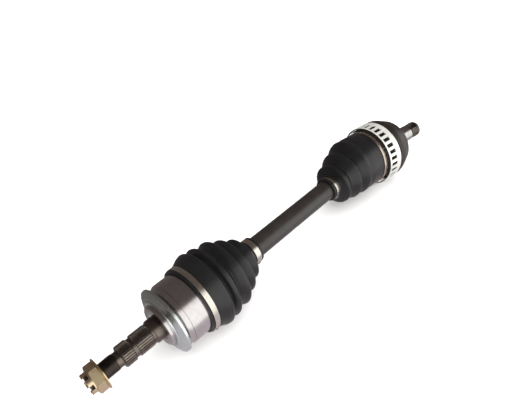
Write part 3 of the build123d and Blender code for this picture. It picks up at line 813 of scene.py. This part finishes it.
@dataclass
class GearboxEnd:
    """Everything that slides with the gearbox: housing, sensor ring and splined stub."""

    def build(self) -> None:
        """Build the gearbox end's pieces."""
        line, body = Line.HOUSING, Body.GEARBOX
        Turned("joint_housing", [
            (-36.0, 38.6, 0.0), (-36.0, 40.2, 0.4), (-35.2, 40.9, 0.4), (4.0, 40.9, 2.0), (11.4, 46.4, 1.5),
            (12.0, 47.6, 0.4), (19.7, 47.6, 0.4), (19.9, 46.4, 0.3), (21.6, 46.4, 0.3), (21.6, 49.0, 0.3),
            (22.2, 49.6, 0.5), (29.0, 49.6, 1.5), (32.0, 48.8, 2.0), (52.3, 39.9, 1.2), (54.1, 38.4, 0.7),
            (55.5, 36.6, 0.9), (55.5, 19.5, 1.5), (56.7, 16.5, 1.5), (60.0, 13.3, 0.0), (60.0, 0.0, 0.0),
            (44.0, 0.0, 0.0), (43.0, 36.0, 3.0), (-34.0, 38.4, 0.0)],
            "housing", "housing_steel", body, ("gearbox_housing",), line).build()
        Turned("seal_seat", [
            (59.0, 0.0, 0.0), (59.0, 13.5, 0.0), (97.4, 13.5, 0.4), (98.0, 13.1, 0.3), (98.0, 0.0, 0.0)],
            "seat", "ground_steel", body, ("gearbox_housing",), line).build()
        Turned("gearbox_spline", [
            (97.5, 0.0, 0.0), (97.5, 11.8, 0.0), (99.4, 11.8, 0.3), (99.6, 11.8, 0.0), (100.6, 13.0, 0.0),
            (112.9, 13.0, 0.0), (113.0, 11.8, 0.0), (113.0, 11.3, 0.0), (114.5, 11.3, 0.0),
            (114.5, 11.8, 0.0), (114.6, 13.0, 0.0), (119.0, 13.0, 0.0), (120.3, 11.8, 0.0),
            (121.0, 10.8, 0.4), (121.0, 0.0, 0.0)],
            "spline", "stub_steel", body, ("gearbox_housing",), line, steps=27 * 6,
            teeth=(Teeth(99.6, 113.0, 11.8, 13.0, 27), Teeth(114.5, 120.3, 11.8, 13.0, 27))).build()
        ToneRing().build()


WHEEL_BOOT = [
    (47.4, 46.4), (48.1, 47.1), (49.4, 47.1), (50.1, 46.4), (58.3, 46.4), (60.0, 48.0), (64.0, 49.8),
    (70.0, 53.0), (75.4, 54.2), (77.8, 53.2), (82.5, 45.5), (86.6, 51.5), (89.4, 52.7), (92.0, 51.4),
    (98.5, 41.5), (106.2, 48.6), (109.4, 49.7), (112.3, 48.4), (117.8, 36.5), (123.6, 40.3), (126.4, 41.2),
    (129.0, 40.0), (135.0, 27.8), (140.2, 30.8), (142.9, 31.6), (145.2, 30.4), (151.0, 21.0), (154.3, 18.0),
    (163.9, 18.0), (164.7, 19.2), (167.7, 18.8)]
GEARBOX_BOOT_BAR_HALF = [
    (-121.0, 18.8), (-117.6, 19.2), (-116.6, 18.0), (-107.0, 18.0), (-105.6, 24.5), (-104.2, 30.0),
    (-102.2, 32.8), (-99.0, 32.4), (-94.0, 28.5), (-90.0, 27.5), (-84.0, 34.0), (-78.6, 39.2), (-75.5, 40.3),
    (-73.0, 39.0), (-68.0, 34.0), (-65.9, 33.5)]
GEARBOX_BOOT_HOUSING_HALF = [
    (-66.1, 33.5), (-65.0, 34.2), (-60.0, 39.5), (-54.4, 45.0), (-51.0, 46.0), (-48.6, 45.4), (-46.0, 43.9),
    (-43.0, 44.6), (-36.6, 45.4), (-24.0, 44.8), (-15.4, 44.1), (-14.9, 43.5), (-8.6, 43.5), (-7.6, 44.0)]


@dataclass
class Boots:
    """The two rubber boots and their four bands."""

    def build(self) -> None:
        """Build the boots and clamp them."""
        WheelBoot("wheel_boot_skin", WHEEL_BOOT, 43.3, 15.2).build()
        GearboxBoot("gearbox_boot_bar_half", GEARBOX_BOOT_BAR_HALF, 15.2, 31.3).build(
            Body.SHAFT, Body.CARRIER, GEARBOX_CENTRE + Vector((-107.0, 0.0, 0.0)),
            GEARBOX_CENTRE + Vector((-68.0, 0.0, 0.0)))
        GearboxBoot("gearbox_boot_housing_half", GEARBOX_BOOT_HOUSING_HALF, 31.3, 41.2).build(
            Body.CARRIER, Body.GEARBOX, GEARBOX_CENTRE - HOUSING_WAY * 64.0,
            GEARBOX_CENTRE - HOUSING_WAY * 38.0)
        BandClamp("wheel_large_band", "wheel_boot_large_clamp", 50.5, 7.4, 46.7, Line.BAR, Body.WHEEL).build()
        BandClamp("wheel_small_band", "wheel_boot_small_clamp", 155.1, 8.4, 18.0, Line.BAR,
                  Body.SHAFT).build()
        BandClamp("gearbox_small_band", "gearbox_boot_small_clamp", 335.0, 8.4, 18.0, Line.BAR,
                  Body.SHAFT).build()
        BandClamp("gearbox_large_band", "gearbox_boot_large_clamp", -14.6, 5.8, 43.8, Line.HOUSING,
                  Body.GEARBOX, "copper").build()


@dataclass
class HiddenBearings:
    """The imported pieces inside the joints, which stay as they are and are given finishes."""

    finishes: tuple[tuple[str, str], ...] = (
        ("ball_cage", "seat"), ("ball_", "bearing"), ("inner_race", "seat"), ("tripod_spider", "seat"),
        ("outer_roller", "bearing"), ("roller_", "bearing"), ("needle", "bearing"), ("snap_ring", "stub"))

    def dress(self) -> None:
        """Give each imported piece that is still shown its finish."""
        for name, node in frame["nodes"].items():
            if node.hide_render:
                continue
            key = next((key for word, key in self.finishes if word in name), "bearing")
            node.data.materials.clear()
            node.data.materials.append(material(key))
            LOG.info("%s dressed in %s", name, key)


@dataclass
class Studio:
    """Floor, soft lights and camera."""

    floor_drop: float = 0.0545
    eye: tuple[float, float, float] = (-0.143, -0.298, 0.508)
    right: tuple[float, float, float] = (0.683, -0.730, 0.0)
    forward: tuple[float, float, float] = (0.518, 0.485, -0.705)
    lens: float = 33.49
    wall_strength: float = 1.7
    walls: tuple[tuple[float, Colour], ...] = (
        (0.0, (1.0, 1.0, 0.98)), (0.04, (0.98, 0.96, 0.95)), (0.075, (0.42, 0.385, 0.40)),
        (0.30, (0.36, 0.325, 0.345)), (0.36, (0.10, 0.088, 0.084)), (0.60, (0.07, 0.058, 0.054)),
        (0.835, (0.075, 0.064, 0.06)), (0.86, (0.9, 0.88, 0.84)), (0.90, (1.0, 1.0, 0.98)))

    def floor(self) -> None:
        """Lay a large pale floor under the axle."""
        bm = bmesh.new()
        bmesh.ops.create_grid(bm, x_segments=1, y_segments=1, size=6.0,
                              matrix=Matrix.Translation((0.2, 0.0, -self.floor_drop)))
        piece = smooth_object(bm, "studio_floor", "floor", 30.0)
        piece.visible_glossy = False

    def skylight(self, size: float, power: float) -> None:
        """Hang one wide soft light over the axle, unseen by its polished faces.

        Args:
            size: Its side in metres.
            power: Its power in watts.
        """
        light = bpy.data.lights.new("skylight", "AREA")
        light.shape = "SQUARE"
        light.size = size
        light.energy = power
        lamp = bpy.data.objects.new("skylight", light)
        lamp.location = (0.25, 0.0, 2.4)
        lamp.visible_glossy = False
        bpy.context.scene.collection.objects.link(lamp)

    def surroundings(self) -> None:
        """Surround the axle with a dark room and one bright wall along its near side."""
        world = bpy.data.worlds.new("surroundings")
        world.use_nodes = True
        nodes, links = world.node_tree.nodes, world.node_tree.links
        sky = nodes["Background"]
        place = nodes.new("ShaderNodeTexCoord")
        split = nodes.new("ShaderNodeSeparateXYZ")
        angle = nodes.new("ShaderNodeMath")
        angle.operation = "ARCTAN2"
        share = nodes.new("ShaderNodeMapRange")
        share.inputs["From Min"].default_value = -math.pi
        share.inputs["From Max"].default_value = math.pi
        ramp = nodes.new("ShaderNodeValToRGB")
        ramp.color_ramp.interpolation = "EASE"
        stops = ramp.color_ramp.elements
        stops.remove(stops[1])
        stops[0].position, stops[0].color = self.walls[0][0], (*self.walls[0][1], 1.0)
        for position, colour in self.walls[1:]:
            stops.new(position).color = (*colour, 1.0)
        links.new(place.outputs["Generated"], split.inputs[0])
        links.new(split.outputs["Z"], angle.inputs[0])
        links.new(split.outputs["Y"], angle.inputs[1])
        links.new(angle.outputs[0], share.inputs["Value"])
        links.new(share.outputs[0], ramp.inputs[0])
        links.new(ramp.outputs[0], sky.inputs["Color"])
        sky.inputs["Strength"].default_value = self.wall_strength
        bpy.context.scene.world = world

    def camera(self) -> None:
        """Set the camera at its measured place and angle."""
        camera = bpy.data.cameras.new("camera")
        camera.lens = self.lens
        camera.sensor_width = 36.0
        camera.clip_start = 0.01
        view = bpy.data.objects.new("camera", camera)
        forward = Vector(self.forward).normalized()
        right = Vector(self.right).normalized()
        up = right.cross(forward)
        view.matrix_world = Matrix.Translation(self.eye) @ Matrix((right, up, -forward)).transposed().to_4x4()
        bpy.context.scene.collection.objects.link(view)
        bpy.context.scene.camera = view

    def build(self) -> None:
        """Build the floor, the lights, the surroundings and the camera."""
        self.floor()
        self.skylight(5.0, 230.0)
        self.surroundings()
        bpy.context.scene.view_settings.view_transform = "Standard"
        self.camera()


def main() -> None:
    """Build the axle and its surroundings."""
    logging.basicConfig(level=logging.INFO, format="%(name)s: %(message)s")
    GROUPS["grain"] = grain_group()
    GROUPS["turning"] = turning_group()
    WheelEnd().build()
    Bar().build()
    GearboxEnd().build()
    Boots().build()
    HiddenBearings().dress()
    Studio().build()


if __name__ == "__main__":
    main()
